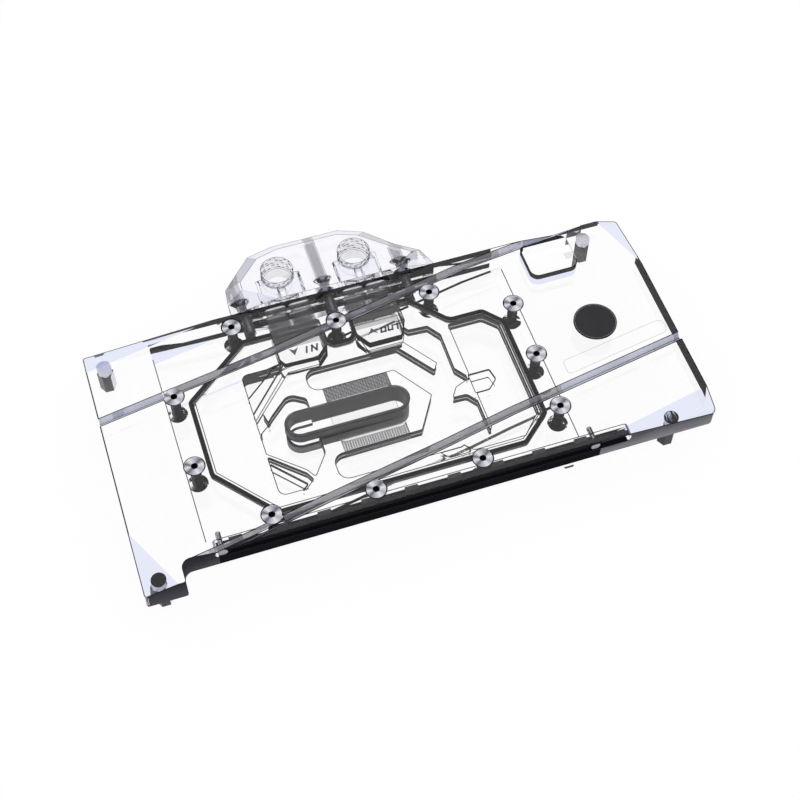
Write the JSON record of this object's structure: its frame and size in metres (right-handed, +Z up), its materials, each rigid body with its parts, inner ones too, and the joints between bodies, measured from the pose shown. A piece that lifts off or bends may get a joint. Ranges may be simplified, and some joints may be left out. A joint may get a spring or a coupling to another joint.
{
  "type": "gpu water block",
  "caption": "Water-cooling block for a graphics card: clear acrylic cover on a nickel-plated copper plate, clear port block, light strip and hexagonal standoffs.",
  "frame": {"origin": "centre of the face that touches the graphics chip", "axes": "+X along the graphics card, +Y towards the port block, +Z up from the chip"},
  "size_m": [0.2242, 0.1367, 0.0233],
  "materials": {
    "clear_acrylic": "polished",
    "nickel_plated_copper": "polished",
    "stainless_steel": "satin",
    "dark_silicone": "satin",
    "black_rubber": "matte",
    "bright_screws": "turned",
    "black_metal": "satin",
    "circuit_board": "satin",
    "led_lens": "satin",
    "gloss_black": "gloss"
  },
  "bodies": {
    "root": {"acrylic_cover": "clear_acrylic", "terminal_block": "clear_acrylic", "cold_plate": "nickel_plated_copper", "jet_plate": "stainless_steel", "jet_collar": "dark_silicone", "main_seal": "black_rubber", "inlet_seal": "black_rubber", "outlet_seal": "black_rubber", "cover_screws": "bright_screws", "terminal_screws": "bright_screws", "led_board": "circuit_board", "led_screws": "bright_screws", "badge_disc": "gloss_black", "standoff_plate": "black_metal", "led_1": "led_lens", "led_2": "led_lens", "led_3": "led_lens", "led_4": "led_lens", "led_5": "led_lens", "led_6": "led_lens", "led_7": "led_lens", "led_8": "led_lens", "led_9": "led_lens", "standoff_back_left": "black_metal", "standoff_front_left": "black_metal", "standoff_front_right": "black_metal", "standoff_back_right": "black_metal"}
  },
  "joints": []
}
